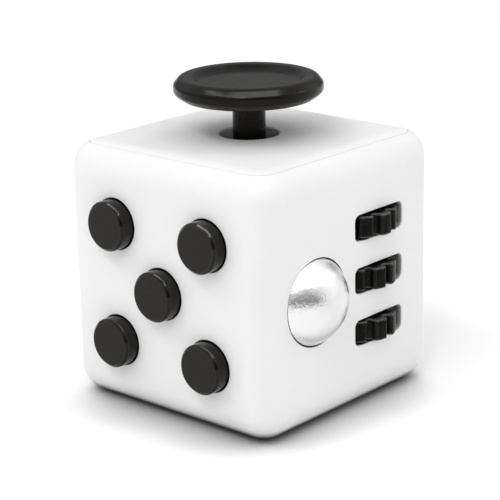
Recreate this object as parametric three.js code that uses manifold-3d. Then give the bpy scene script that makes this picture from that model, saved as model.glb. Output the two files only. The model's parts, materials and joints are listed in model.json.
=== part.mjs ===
// Fidget cube: a hand-sized desk toy with a different mechanism on each face.
// Millimetres, +Z up, origin at the centre of the base. Buttons face -Y, the ball and gears +X,
// the thumb stick +Z, the spin dial +Y, the flip switch -X and the thumb dish faces down.
import * as THREE from 'three';
import { RoundedBoxGeometry } from 'three/addons/geometries/RoundedBoxGeometry.js';
import { mergeVertices } from 'three/addons/utils/BufferGeometryUtils.js';
import Module from 'manifold-3d';

const wasm = await Module();
wasm.setup();

// ---- driving dimensions ----------------------------------------------------------------------
const CUBE = 33;                    // across the flats
const FACE = CUBE / 2;              // centre to outer face
const EDGE = 3.5;                   // radius of the outer edges
const WALL = 2;
const INSIDE = FACE - WALL;         // centre to inner wall
const GAP = 0.3;                    // between pieces that rest on each other
const COVER_HALF = 14.6;            // half width of the seam round each cover
const COVER_CORNER = 2;
const COVER_PLAY = 0.1;             // each side of the seam
const LEDGE_HALF = 12.6;            // opening inside the ledge that carries a cover
const LEDGE_THICK = 1;

const BUTTON_PITCH = 7.5;           // centre button to corner button, along X and Z
const BUTTON_ROW_Z = 16.2;
const BUTTON_R = 3.15;
const BUTTON_PROUD = 1.9;
const BUTTON_TRAVEL = 1;
const FLANGE_R = 3.9;
const FLANGE_THICK = 0.8;

const GEAR_X = 13.1;
const GEAR_Y = 4.9;
const GEAR_Z = 16.6;                // middle gear
const GEAR_PITCH = 6.7;             // between gears, along Z
const GEAR_TIP_R = 4.85;
const GEAR_ROOT_R = 3.85;
const GEAR_TEETH = 10;
const TOOTH_WIDTH = 1.8;
const GEAR_THICK = 2.7;
const GEAR_TURN = { top: -2, middle: -15, bottom: -12.5 };   // degrees at rest
const SLOT_LENGTH = 9.3;
const SLOT_HEIGHT = 3.3;
const SLOT_CORNER = 0.8;
const AXLE_R = 1;

const BALL_R = 6;
const BALL_X = 13.7;
const BALL_Y = -7.1;
const BALL_Z = 16.1;
const BALL_PLAY = 0.14;

const PIVOT_Z = 27.5;               // where the thumb stick tilts
const STICK_HOLE_R = 3.7;
const STEM_R = 2.05;
const STICK_BALL_R = 2.9;
const CAP_R = 9.3;

const SWITCH_X = -13.7;             // pivot of the flip switch
const SWITCH_Z = 16.5;
const SWITCH_TILT = 14;             // degrees each side of level
const SWITCH_HALF_WIDTH = 3.5;
const SWITCH_ARC_R = 6.87;

const DIAL_R = 8;
const DIAL_PROUD = 1.9;
const DIAL_POCKET = 0.8;

const SCREW_HEAD = 0.8;              // thickness of a screw's head
const ROUND = 16;                   // sides of a small round piece

// ---- materials -------------------------------------------------------------------------------
const plastic = (color, roughness) => new THREE.MeshStandardMaterial({ color, roughness, metalness: 0 });
const metal = (color, roughness) => new THREE.MeshStandardMaterial({ color, roughness, metalness: 1 });
const whitePlastic = plastic(0xf1f0ee, 0.55);
const blackPlastic = plastic(0x1c1b1a, 0.45);
const blackSoft = plastic(0x201f1e, 0.6);
const innerPlastic = plastic(0x2b2b2d, 0.6);
const silicone = plastic(0xc9ccd0, 0.7);
const steel = metal(0xc4c6c9, 0.25);
const polishedSteel = metal(0xe4e5e7, 0.08);

// ---- solids ----------------------------------------------------------------------------------
/** The geometry as a closed solid, its shared vertices merged and collapsed triangles dropped. */
function toSolid(geometry) {
  const bare = new THREE.BufferGeometry();
  bare.setAttribute('position', geometry.getAttribute('position'));
  bare.setIndex(geometry.index);
  const merged = mergeVertices(bare, 1e-4);
  const kept = [];
  for (let i = 0; i < merged.index.count; i += 3) {
    const [a, b, c] = [0, 1, 2].map((k) => merged.index.getX(i + k));
    if (a !== b && b !== c && c !== a) kept.push(a, b, c);
  }
  return new wasm.Manifold(new wasm.Mesh({
    numProp: 3,
    vertProperties: new Float32Array(merged.getAttribute('position').array),
    triVerts: new Uint32Array(kept),
  }));
}

function toGeometry(solid) {
  const mesh = solid.getMesh();
  const geometry = new THREE.BufferGeometry();
  geometry.setAttribute('position', new THREE.BufferAttribute(mesh.vertProperties, 3));
  geometry.setIndex(new THREE.BufferAttribute(mesh.triVerts, 1));
  geometry.computeVertexNormals();
  return geometry;
}

const join = (...shapes) => toGeometry(shapes.map(toSolid).reduce((a, b) => a.add(b)));
const cut = (shape, ...tools) => toGeometry(tools.map(toSolid).reduce((a, b) => a.subtract(b), toSolid(shape)));
const common = (a, b) => toGeometry(toSolid(a).intersect(toSolid(b)));

/** A block between two corners. */
function block(x0, x1, y0, y1, z0, z1) {
  return new THREE.BoxGeometry(x1 - x0, y1 - y0, z1 - z0)
    .translate((x0 + x1) / 2, (y0 + y1) / 2, (z0 + z1) / 2);
}

/** Turns a shape made along +Y so that it lies along the given axis. */
function along(axis, geometry) {
  if (axis === 'x') return geometry.rotateZ(-Math.PI / 2);
  if (axis === 'z') return geometry.rotateX(Math.PI / 2);
  return geometry;
}

/** A turned piece: its profile is [radius, height] points, and it closes on the axis. */
function turned(axis, profile, sides = ROUND) {
  const outline = profile.map(([r, h]) => new THREE.Vector2(r, h));
  return along(axis, new THREE.LatheGeometry(outline, sides));
}

/** A turned ring: its profile runs round the section and ends where it starts. */
function ring(axis, profile, sides = ROUND) {
  return turned(axis, [...profile, profile[0]], sides);
}

/** A plain round bar from one height to another. */
function rod(axis, radius, from, to, sides = ROUND) {
  return turned(axis, [[0, from], [radius, from], [radius, to], [0, to]], sides);
}

/** [radius, height] points on an arc, angles in degrees from the axis's foot. */
function arc(centreR, centreH, radius, from, to, steps) {
  return Array.from({ length: steps + 1 }, (_, i) => {
    const angle = THREE.MathUtils.degToRad(from + ((to - from) * i) / steps);
    return [centreR + radius * Math.cos(angle), centreH + radius * Math.sin(angle)];
  });
}

/** A rectangle with round corners, centred on the origin. */
function roundedRectangle(width, height, corner) {
  const [x, y] = [width / 2 - corner, height / 2 - corner];
  const shape = new THREE.Shape();
  shape.absarc(x, y, corner, 0, Math.PI / 2);
  shape.absarc(-x, y, corner, Math.PI / 2, Math.PI);
  shape.absarc(-x, -y, corner, Math.PI, 1.5 * Math.PI);
  shape.absarc(x, -y, corner, 1.5 * Math.PI, 2 * Math.PI);
  return shape;
}

function extruded(shape, depth, curveSegments = 2) {
  return new THREE.ExtrudeGeometry(shape, { depth, curveSegments, bevelEnabled: false });
}

/** A square bar along Z with round corners, between two heights. */
function squareBar(half, corner, from, to) {
  return extruded(roundedRectangle(2 * half, 2 * half, corner), to - from, 3).translate(0, 0, from);
}

/** A small screw along the axis: its socketed head's top is at 0 and the shank runs to its length. */
function screw(axis, length, headR = 1.3, shankR = 0.62) {
  const socket = 0.45;
  return turned(axis, [
    [0, socket], [0.6, 0], [headR, 0], [headR, SCREW_HEAD], [shankR, SCREW_HEAD], [shankR, length], [0, length],
  ], 8);
}

/** A coil spring along Z from 0 to its height, as a round wire on a helix. */
function coil(radius, wireR, height, turns) {
  class Helix extends THREE.Curve {
    getPoint(t) {
      const angle = t * turns * 2 * Math.PI;
      return new THREE.Vector3(radius * Math.cos(angle), radius * Math.sin(angle), t * height);
    }
  }
  const wire = new THREE.Shape().absarc(0, 0, wireR, 0, 2 * Math.PI);
  return new THREE.ExtrudeGeometry(wire, {
    extrudePath: new Helix(), steps: turns * 8, curveSegments: 2, bevelEnabled: false,
  });
}

/** A snap dome along +Y: a thin cap whose rim stands at 0 and whose crown is at its height. */
function snapDome(radius, height, thick) {
  return turned('y', [
    [0, height - thick], [radius * 0.5, height - thick * 1.2], [radius - 0.3, 0], [radius, 0],
    [radius, thick], [radius * 0.55, height], [0, height],
  ], 12);
}

// ---- the scene graph -------------------------------------------------------------------------
const cube = new THREE.Group();

function module(x, y, z) {
  const group = new THREE.Group();
  group.position.set(x, y, z);
  cube.add(group);
  return group;
}

function part(group, name, geometry, material, x = 0, y = 0, z = 0) {
  const mesh = new THREE.Mesh(geometry, material);
  mesh.name = name;
  mesh.position.set(x, y, z);
  group.add(mesh);
  return mesh;
}

// ---- where things sit ------------------------------------------------------------------------
const buttonPlaces = {
  top_left: [-BUTTON_PITCH, BUTTON_ROW_Z + BUTTON_PITCH],
  top_right: [BUTTON_PITCH, BUTTON_ROW_Z + BUTTON_PITCH],
  centre: [0, BUTTON_ROW_Z],
  bottom_left: [-BUTTON_PITCH, BUTTON_ROW_Z - BUTTON_PITCH],
  bottom_right: [BUTTON_PITCH, BUTTON_ROW_Z - BUTTON_PITCH],
};
const clickButtons = ['top_left', 'centre', 'bottom_right'];
const gearHeights = { top: GEAR_Z + GEAR_PITCH, middle: GEAR_Z, bottom: GEAR_Z - GEAR_PITCH };

const BACKPLATE_SCREWS = { top: [0, 8.5], bottom: [0, -8.5], left: [-8.5, 0] };   // from the centre button
const BACKPLATE_Y = -12;            // front of the plate behind the buttons
const BACKPLATE_THICK = 1;
const BRACKET_X = 7.3;              // back of the gear bracket
const BRACKET_THICK = 0.7;
const BRACKET_SCREW_Y = 11.6;
const bracketScrews = { upper: 22.2, lower: 11 };
const HOUSING_X = 4.3;              // back of the ball housing
const HOUSING_PLATE = 0.8;
const HOUSING_SCREW_REACH = 7.8;    // from the ball's centre, along Z
const SWITCH_FRAME_X = -8.8;        // back of the switch frame
const SWITCH_FRAME_THICK = 0.8;
const SWITCH_SCREW_REACH = 8.8;     // from the pivot, along Z
const STICK_SCREW = 5.6;            // from the stick's axis, along X and Y
const BOSS_R = 1.5;
const BOSS_BORE = 0.75;
const HUB_R = 4;                    // boss round the dial's shaft
const DIAL_SHAFT_R = 2;

// ---- casing ----------------------------------------------------------------------------------
/** A tapped boss standing on an inner wall, as [boss, its blind bore]. */
function boss(axis, from, to, x, y, z) {
  const [low, high] = [Math.min(from, to), Math.max(from, to)];
  const [boreLow, boreHigh] = from < to ? [low + 0.5, high + 1] : [low - 1, high - 0.5];
  return [
    rod(axis, BOSS_R, low, high, 10).translate(x, y, z),
    rod(axis, BOSS_BORE, boreLow, boreHigh, 8).translate(x, y, z),
  ];
}

/** The flared opening that the ball looks out of, from behind the wall to in front of it. */
function ballOpening() {
  const clear = BALL_R + BALL_PLAY;
  const [inner, outer] = [INSIDE - BALL_X, FACE - BALL_X];
  const mouth = Math.sqrt(clear ** 2 - outer ** 2);
  return [[0, 0], [clear, 0], [Math.sqrt(clear ** 2 - inner ** 2) + 0.06, inner], [mouth, outer], [mouth, 4], [0, 4]];
}

function bodyShell() {
  const ledgeTop = CUBE - WALL - GAP;
  const ledgeFoot = ledgeTop - LEDGE_THICK;
  const pocket = COVER_HALF + COVER_PLAY;
  const outer = new RoundedBoxGeometry(CUBE, CUBE, CUBE, 3, EDGE).translate(0, 0, FACE);
  const sleeve = cut(
    outer,
    squareBar(INSIDE, 3, CUBE - ledgeFoot, ledgeFoot),
    squareBar(LEDGE_HALF, 1.8, -1, CUBE + 1),
    squareBar(pocket, COVER_CORNER, ledgeTop, CUBE + 1),
    squareBar(pocket, COVER_CORNER, -1, CUBE - ledgeTop),
  );
  const bosses = [
    ...Object.values(BACKPLATE_SCREWS).map(([x, z]) =>
      boss('y', -FACE + 1, BACKPLATE_Y - GAP, x, 0, BUTTON_ROW_Z + z)),
    ...Object.values(bracketScrews).map((z) =>
      boss('x', FACE - 1, BRACKET_X + BRACKET_THICK + GAP, 0, BRACKET_SCREW_Y, z)),
    ...[-1, 1].map((side) =>
      boss('x', FACE - 1, HOUSING_X + HOUSING_PLATE + GAP, 0, BALL_Y, BALL_Z + side * HOUSING_SCREW_REACH)),
    ...[-1, 1].map((side) =>
      boss('x', -FACE + 1, SWITCH_FRAME_X - SWITCH_FRAME_THICK - GAP, 0, 0, SWITCH_Z + side * SWITCH_SCREW_REACH)),
  ];
  const dialHub = rod('y', HUB_R, INSIDE - 1.5, FACE - 1.2).translate(0, 0, FACE);
  const buttonHoles = Object.values(buttonPlaces).map(([x, z]) =>
    rod('y', BUTTON_R + 0.12, -FACE - 1, -INSIDE + 1).translate(x, 0, z));
  const gearSlots = Object.values(gearHeights).map((z) =>
    extruded(roundedRectangle(SLOT_HEIGHT, SLOT_LENGTH, SLOT_CORNER), WALL + 2)
      .rotateY(Math.PI / 2).translate(INSIDE - 1, GEAR_Y, z));
  const gearReliefs = Object.values(gearHeights).map((z) =>
    rod('z', GEAR_TIP_R + 0.2, z - SLOT_HEIGHT / 2, z + SLOT_HEIGHT / 2, 32).translate(GEAR_X, GEAR_Y, 0));
  const ballSeat = turned('x', ballOpening(), 32).translate(BALL_X, BALL_Y, BALL_Z);
  const switchWindow = extruded(
    roundedRectangle(2 * (SWITCH_ARC_R + GAP), 2 * SWITCH_HALF_WIDTH + 0.8, 0.8), WALL + 2)
    .rotateY(Math.PI / 2).translate(-FACE - 1, 0, SWITCH_Z);
  const dialPocket = rod('y', DIAL_R + 0.4, FACE - DIAL_POCKET, FACE + 1, 32).translate(0, 0, FACE);
  const dialBore = rod('y', DIAL_SHAFT_R + 0.1, INSIDE - 3, FACE + 1).translate(0, 0, FACE);
  return cut(
    join(sleeve, dialHub, ...bosses.map(([solid]) => solid)),
    ...bosses.map(([, bore]) => bore),
    ...buttonHoles, ...gearSlots, ...gearReliefs, ballSeat, switchWindow, dialPocket, dialBore,
  );
}

/** A cover as it lies on the top of the cube: the plate inside the seam with four snap tabs. */
function coverPlate() {
  const half = COVER_HALF - COVER_PLAY;
  const floor = CUBE - WALL;
  const outer = new RoundedBoxGeometry(CUBE, CUBE, CUBE, 3, EDGE).translate(0, 0, FACE);
  const plate = common(outer, squareBar(half, COVER_CORNER, floor, CUBE + 1));
  const face = LEDGE_HALF - GAP;
  const barb = floor - GAP - LEDGE_THICK - GAP;
  const tabs = [0, 1, 2, 3].flatMap((quarter) => [
    block(face - 0.7, face, -2.5, 2.5, barb - 0.6, floor + 0.5).rotateZ(quarter * Math.PI / 2),
    block(face - 0.7, face + 0.8, -2.5, 2.5, barb - 0.6, barb).rotateZ(quarter * Math.PI / 2),
  ]);
  return join(plate, ...tabs);
}

function topCover() {
  const bosses = [-1, 1].flatMap((x) => [-1, 1].map((y) =>
    [x * STICK_SCREW, y * STICK_SCREW]));
  const floor = CUBE - WALL;
  return cut(
    join(coverPlate(), ...bosses.map(([x, y]) => rod('z', BOSS_R, floor - 1.1, floor + 0.5, 10).translate(x, y, 0))),
    ...bosses.map(([x, y]) => rod('z', BOSS_BORE, floor - 2, CUBE - 0.8, 8).translate(x, y, 0)),
    rod('z', STICK_HOLE_R, floor - 1, CUBE + 1, 32),
  );
}

function bottomCover() {
  const [dishLong, dishWide, dishDepth] = [9, 6.5, 1.4];
  const flipped = coverPlate().rotateX(Math.PI).translate(0, 0, CUBE);
  const pad = extruded(roundedRectangle(21, 16, 4), 1.5).translate(0, 0, 1.5);
  const bowl = [1, 0.8, 0.55, 0.28, 0].map((r) => [r, dishDepth * (1 - r * r)]);
  const dish = turned('z', [[0, -1], [1, -1], ...bowl], 28).scale(dishLong, dishWide, 1);
  return cut(join(flipped, pad), dish);
}

part(cube, 'body_shell', bodyShell(), whitePlastic);
part(cube, 'top_cover', topCover(), whitePlastic);
part(cube, 'bottom_cover', bottomCover(), whitePlastic);

// ---- buttons: each is pushed in along +Y against its own dome ---------------------------------
const flangeFront = WALL + GAP;                    // behind the outer face
const flangeBack = flangeFront + FLANGE_THICK;
const domeFoot = FACE + BACKPLATE_Y - GAP;         // behind the outer face

function button() {
  const round = 0.35;
  return turned('y', [
    [0, -BUTTON_PROUD],
    ...arc(BUTTON_R - round, -BUTTON_PROUD + round, round, -90, 0, 1),
    [BUTTON_R, flangeFront], [FLANGE_R, flangeFront], [FLANGE_R, flangeBack], [0, flangeBack],
  ]);
}

function buttonBackplate() {
  const half = 12.2;
  const notch = { x: 3.9, z: 6.6 };                // clears the ball and its housing
  const plate = block(-half, half, 0, BACKPLATE_THICK, -11.8, 11.6);
  const aroundBall = block(notch.x, half + 1, -1, BACKPLATE_THICK + 1,
    BALL_Z - BUTTON_ROW_Z - notch.z, BALL_Z - BUTTON_ROW_Z + notch.z);
  const holes = Object.values(BACKPLATE_SCREWS).map(([x, z]) =>
    rod('y', 0.8, -1, BACKPLATE_THICK + 1, 8).translate(x, 0, z));
  return cut(plate, aroundBall, ...holes);
}

const buttons = module(0, -FACE, 0);
for (const [place, [x, z]] of Object.entries(buttonPlaces)) {
  const clicks = clickButtons.includes(place);
  const height = domeFoot - flangeBack - GAP;
  const dome = snapDome(clicks ? 2.2 : 2.6, height, clicks ? 0.3 : 0.5)
    .rotateX(Math.PI).translate(0, domeFoot, 0);
  part(buttons, `button_${place}`, button(), blackPlastic, x, 0, z);
  part(buttons, clicks ? `click_dome_${place}` : `silent_dome_${place}`, dome, clicks ? steel : silicone, x, 0, z);
}
part(cube, 'button_backplate', buttonBackplate(), innerPlastic, 0, BACKPLATE_Y, BUTTON_ROW_Z);
for (const [place, [x, z]] of Object.entries(BACKPLATE_SCREWS)) {
  const headTop = BACKPLATE_Y + BACKPLATE_THICK + GAP + SCREW_HEAD;
  const fastener = screw('y', 3.6).rotateX(Math.PI);
  part(cube, `backplate_screw_${place}`, fastener, steel, x, headTop, BUTTON_ROW_Z + z);
}

// ---- gears: three loose wheels on one axle, seen through the slots -----------------------------
function gear() {
  const shape = new THREE.Shape();
  const pitch = (2 * Math.PI) / GEAR_TEETH;
  const tip = Math.asin(TOOTH_WIDTH / 2 / GEAR_TIP_R);
  const root = Math.asin(TOOTH_WIDTH / 2 / GEAR_ROOT_R) * 1.08;
  for (let tooth = 0; tooth < GEAR_TEETH; tooth += 1) {
    const centre = tooth * pitch;
    shape.absarc(0, 0, GEAR_ROOT_R, centre - pitch + root, centre - root);
    shape.absarc(0, 0, GEAR_TIP_R, centre - tip, centre + tip);
  }
  shape.closePath();
  const wheel = extruded(shape, GEAR_THICK, 1).translate(0, 0, -GEAR_THICK / 2);
  return cut(wheel, rod('z', AXLE_R + 0.1, -GEAR_THICK, GEAR_THICK));
}

function gearBracket() {
  const [low, high] = [6, 27.4];
  const armThick = 1.1;
  const back = block(BRACKET_X, BRACKET_X + BRACKET_THICK, 0.5, 9.3, low, high);
  const ears = Object.values(bracketScrews).map((z) =>
    block(BRACKET_X, BRACKET_X + BRACKET_THICK, 9, BRACKET_SCREW_Y + 1.6, z - 1.6, z + 1.6));
  const arms = [low, high - armThick].map((z) =>
    block(BRACKET_X + 0.2, INSIDE - GAP, 1.9, 7.9, z, z + armThick));
  const earHoles = Object.values(bracketScrews).map((z) =>
    rod('x', 0.8, BRACKET_X - 1, BRACKET_X + 2, 8).translate(0, BRACKET_SCREW_Y, z));
  const axleHole = rod('z', AXLE_R + 0.08, low - 1, high + 1).translate(GEAR_X, GEAR_Y, 0);
  return cut(join(back, ...ears, ...arms), ...earHoles, axleHole);
}

const gearTrain = module(GEAR_X, GEAR_Y, 0);
for (const [place, z] of Object.entries(gearHeights)) {
  const wheel = part(gearTrain, `gear_${place}`, gear(), blackPlastic, 0, 0, z);
  wheel.rotation.z = THREE.MathUtils.degToRad(GEAR_TURN[place]);
}
part(gearTrain, 'gear_axle', rod('z', AXLE_R, 5.6, 27.9), steel);
part(cube, 'gear_bracket', gearBracket(), innerPlastic);
for (const [place, z] of Object.entries(bracketScrews)) {
  part(cube, `bracket_screw_${place}`, screw('x', 5.4), steel,
    BRACKET_X - GAP - SCREW_HEAD, BRACKET_SCREW_Y, z);
}

// ---- ball: rolls in its liner, and the whole seat clicks in along -X --------------------------
const ballRest = BALL_R + 0.15;

/** Points of the liner's and the seat's hollow, on a sphere round the ball, from one depth to another. */
function hollow(from, to, steps) {
  return Array.from({ length: steps + 1 }, (_, i) => {
    const h = from + ((to - from) * i) / steps;
    return [Math.sqrt(ballRest ** 2 - h ** 2), h];
  });
}

function ballSeatCup() {
  const [back, rim] = [6.4 - BALL_X, 9.4 - BALL_X];
  const outer = 4.95;
  return turned('x', [
    [0, back], [outer, back], [outer, rim], ...hollow(rim, -ballRest, 3),
  ]);
}

function ballLiner() {
  const [back, front] = [9.7 - BALL_X, 10.9 - BALL_X];
  const outer = 6;
  return ring('x', [[outer, back], [outer, front], ...hollow(front, back, 1)], 24);
}

function ballHousing() {
  const plateBack = HOUSING_X - BALL_X;
  const plateFront = plateBack + HOUSING_PLATE;
  const tube = ring('x', [[5.2, plateBack + 0.2], [6.1, plateBack + 0.2], [6.1, 8.4 - BALL_X], [5.2, 8.4 - BALL_X]]);
  const ear = block(plateBack, plateFront, -1.9, 1.9, -HOUSING_SCREW_REACH - 1.4, HOUSING_SCREW_REACH + 1.4);
  const disc = rod('x', 6.1, plateBack, plateFront);
  const holes = [-1, 1].map((side) =>
    rod('x', 0.8, plateBack - 1, plateFront + 1, 8).translate(0, 0, side * HOUSING_SCREW_REACH));
  return cut(join(tube, disc, ear), ...holes);
}

const ballUnit = module(BALL_X, BALL_Y, BALL_Z);
part(ballUnit, 'ball', new THREE.SphereGeometry(BALL_R, 24, 14), polishedSteel);
part(ballUnit, 'ball_liner', ballLiner(), silicone);
part(ballUnit, 'ball_seat', ballSeatCup(), innerPlastic);
part(ballUnit, 'ball_housing', ballHousing(), innerPlastic);
part(ballUnit, 'ball_click_dome', snapDome(3.6, 0.75, 0.3).rotateZ(-Math.PI / 2), steel,
  HOUSING_X + HOUSING_PLATE + GAP - 0.05 - BALL_X);
for (const [place, side] of [['upper', 1], ['lower', -1]]) {
  part(ballUnit, `housing_screw_${place}`, screw('x', 6), steel,
    HOUSING_X - GAP - SCREW_HEAD - BALL_X, 0, side * HOUSING_SCREW_REACH);
}

// ---- thumb stick: a ball joint under the top cover, kept from spinning by its cross pin ---------
const bowlR = STICK_BALL_R + 0.25;
const PIN_R = 0.5;
const socketFoot = 21 - PIVOT_Z;
const socketTop = -GAP / 2;
const retainerTop = 29.6 - PIVOT_Z;

function joystickStem() {
  const tailR = 0.5;                  // the pip that centres the spring, clear of its wire at full tilt
  const tailFoot = -3.7;
  const neckR = 1.4;
  const tail = Math.sqrt(STICK_BALL_R ** 2 - tailR ** 2);
  const neck = Math.sqrt(STICK_BALL_R ** 2 - neckR ** 2);
  const ballArc = (from, to) => arc(0, 0, STICK_BALL_R, from, to, 6);
  const degrees = (h, r) => THREE.MathUtils.radToDeg(Math.atan2(h, r));
  const stem = turned('z', [
    [0, tailFoot], [tailR, tailFoot], ...ballArc(degrees(-tail, tailR), degrees(neck, neckR)),
    [neckR, 2.7], [STEM_R, 3], [STEM_R, 9.6], [1.2, 9.6], [1.2, 11.5], [0, 11.5],
  ], 16);
  return cut(stem, rod('x', PIN_R + 0.08, -4, 4, 12));
}

/** The thumb cap: a rolled rim round a shallow flat-floored dish, with a blind socket for the stem. */
function joystickCap() {
  const rimR = 1.5;
  const rimCentre = 11.3;
  return turned('z', [
    [0, 11.8], [1.5, 11.8], [1.5, 9.9], [2.6, 9.9], [CAP_R - 1.6, 10],
    ...arc(CAP_R - rimR, rimCentre, rimR, -75, 135, 6),
    [6.35, 12.2], [0, 12.15],
  ], 28);
}

/** Screw holes at the corners of the stick's flanges. */
function stickHoles(from, to) {
  return [-1, 1].flatMap((x) => [-1, 1].map((y) =>
    rod('z', 0.8, from, to, 8).translate(x * STICK_SCREW, y * STICK_SCREW, 0)));
}

function joystickSocket() {
  const flange = squareBar(6.9, 1.4, -1.1, socketTop);
  const barrel = rod('z', 5.2, socketFoot, socketTop, 24);
  const bowl = turned('z', [...arc(0, 0, bowlR, -90, 0, 4), [bowlR, 1], [0, 1]], 16);
  return cut(
    join(flange, barrel),
    bowl,
    rod('z', 2.45, socketFoot + 0.7, 0, 16),
    block(-4.8, 4.8, -0.65, 0.65, -1.6, 1),
    ...stickHoles(-2, 1),
  );
}

function joystickRetainer() {
  const bowl = turned('z', [[0, -1], [bowlR, -1], ...arc(0, 0, bowlR, 0, 90, 4)], 16);
  return cut(
    squareBar(6.9, 1.4, GAP / 2, retainerTop),
    bowl,
    rod('z', 2.65, 0, retainerTop + 1, 16),
    block(-4.8, 4.8, -0.65, 0.65, -1, 1.6),
    ...stickHoles(-1, retainerTop + 1),
  );
}

const thumbStick = module(0, 0, PIVOT_Z);
part(thumbStick, 'joystick_cap', joystickCap(), blackSoft);
part(thumbStick, 'joystick_stem', joystickStem(), blackPlastic);
part(thumbStick, 'joystick_cross_pin', rod('x', PIN_R, -4.4, 4.4, 12), steel);
part(thumbStick, 'joystick_socket', joystickSocket(), innerPlastic);
part(thumbStick, 'joystick_retainer', joystickRetainer(), innerPlastic);
part(thumbStick, 'joystick_return_spring', coil(1.75, 0.22, 2.3, 4), steel, 0, 0, socketFoot + 1.2);
const stickCorners = { front_left: [-1, -1], front_right: [1, -1], rear_left: [-1, 1], rear_right: [1, 1] };
for (const [place, [x, y]] of Object.entries(stickCorners)) {
  part(thumbStick, `joystick_screw_${place}`, screw('z', 6.2), steel,
    x * STICK_SCREW, y * STICK_SCREW, -1.1 - GAP - SCREW_HEAD);
}

// ---- flip switch: a rocker on a pin, snapped over by a sprung plunger ---------------------------
function switchRocker() {
  const valley = 3.4;                 // pivot to the middle of the outer face
  const reach = 5.2;                  // length of each outer face
  const tilt = THREE.MathUtils.degToRad(SWITCH_TILT);
  const [endX, endZ] = [valley + reach * Math.sin(tilt), reach * Math.cos(tilt)];
  const endAngle = Math.atan2(endZ, endX);
  const skirtAngle = THREE.MathUtils.degToRad(96);
  const shape = new THREE.Shape();
  shape.moveTo(-valley, 0);
  shape.lineTo(-endX, endZ);
  shape.absarc(0, 0, SWITCH_ARC_R, Math.PI - endAngle, Math.PI - skirtAngle, true);
  shape.lineTo(0.6, 5.8);
  shape.lineTo(-1.6, 5);
  shape.lineTo(0.2, 1.6);
  shape.lineTo(1.6, 0.6);
  shape.absarc(1.6, 0, 0.6, Math.PI / 2, -Math.PI / 2, true);
  shape.lineTo(0.2, -1.6);
  shape.lineTo(-1.6, -5);
  shape.lineTo(0.6, -5.8);
  shape.absarc(0, 0, SWITCH_ARC_R, Math.PI + skirtAngle, Math.PI + endAngle, true);
  shape.closePath();
  const solid = extruded(shape, 2 * SWITCH_HALF_WIDTH, 4).translate(0, 0, -SWITCH_HALF_WIDTH)
    .rotateX(Math.PI / 2);
  return cut(solid, rod('y', 0.83, -5, 5)).rotateY(-tilt);
}

function switchFrame() {
  const [plateFront, plateBack] = [SWITCH_FRAME_X - SWITCH_FRAME_THICK - SWITCH_X, SWITCH_FRAME_X - SWITCH_X];
  const barrelEnd = -4 - SWITCH_X;
  const reach = SWITCH_SCREW_REACH + 1.5;
  const plate = block(plateFront, plateBack, -5.3, 5.3, -reach, reach);
  const ears = [-1, 1].map((side) =>
    block(-INSIDE + GAP - SWITCH_X, plateBack - 0.2, Math.min(side * 4.3, side * 5.3),
      Math.max(side * 4.3, side * 5.3), -2.2, 2.2));
  const barrel = rod('x', 2, plateFront, barrelEnd);
  const holes = [-1, 1].map((side) =>
    rod('x', 0.8, plateFront - 1, plateBack + 1, 8).translate(0, 0, side * SWITCH_SCREW_REACH));
  return cut(
    join(plate, ...ears, barrel),
    rod('x', 1.25, plateFront - 1, barrelEnd - 0.6),
    rod('y', 0.83, -6, 6),
    ...holes,
  );
}

function switchPlunger() {
  return turned('x', [[0, 2.5], [0.6, 2.65], [1.1, 3.2], [1.1, 5.5], [0, 5.5]], 12);
}

const flipSwitch = module(SWITCH_X, 0, SWITCH_Z);
part(flipSwitch, 'switch_rocker', switchRocker(), blackPlastic);
part(flipSwitch, 'switch_pin', rod('y', 0.75, -5.3, 5.3, 12), steel);
part(flipSwitch, 'switch_frame', switchFrame(), innerPlastic);
part(flipSwitch, 'switch_plunger', switchPlunger(), steel);
part(flipSwitch, 'switch_plunger_spring', coil(0.8, 0.2, 2.6, 4).rotateY(Math.PI / 2), steel, 6, 0, 0);
for (const [place, side] of [['upper', 1], ['lower', -1]]) {
  const fastener = screw('x', 4.6).rotateZ(Math.PI);
  part(flipSwitch, `switch_screw_${place}`, fastener, steel,
    SWITCH_FRAME_X + GAP + SCREW_HEAD - SWITCH_X, 0, side * SWITCH_SCREW_REACH);
}

// ---- spin dial: a flat knob with a finger hollow, held by a washer and a screw -------------------
const hubInner = INSIDE - 1.5 - FACE;              // inner end of the hub, from the outer face
const shaftEnd = hubInner - 0.35;

function dial() {
  const floor = GAP - DIAL_POCKET;
  const round = 0.5;
  const knob = turned('y', [
    [0, shaftEnd], [DIAL_SHAFT_R, shaftEnd], [DIAL_SHAFT_R, floor], [DIAL_R, floor],
    ...arc(DIAL_R - round, DIAL_PROUD - round, round, 0, 90, 1), [0, DIAL_PROUD],
  ], 32);
  const hollowR = 4;
  const hollowDepth = 1.1;
  const fingerHollow = new THREE.SphereGeometry(hollowR, 20, 14)
    .translate(0, DIAL_PROUD + hollowR - hollowDepth, 4.3);
  const threadBore = rod('y', 0.75, shaftEnd - 1, shaftEnd + 3.2, 8);
  return cut(knob, fingerHollow, threadBore);
}

const dialUnit = module(0, FACE, FACE);
const washerFace = shaftEnd - GAP;
part(dialUnit, 'dial', dial(), blackPlastic);
part(dialUnit, 'dial_washer',
  ring('y', [[0.85, washerFace - 0.5], [3.2, washerFace - 0.5], [3.2, washerFace], [0.85, washerFace]]), steel);
part(dialUnit, 'dial_screw', screw('y', 4.4, 1.6), steel, 0, washerFace - 0.5 - GAP - SCREW_HEAD, 0);

export default cube;
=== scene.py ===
"""Looks of the fidget cube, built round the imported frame: fine surfaces, procedural materials, studio."""
import json
import math

import bmesh
import bpy
from mathutils import Matrix, Vector


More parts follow.
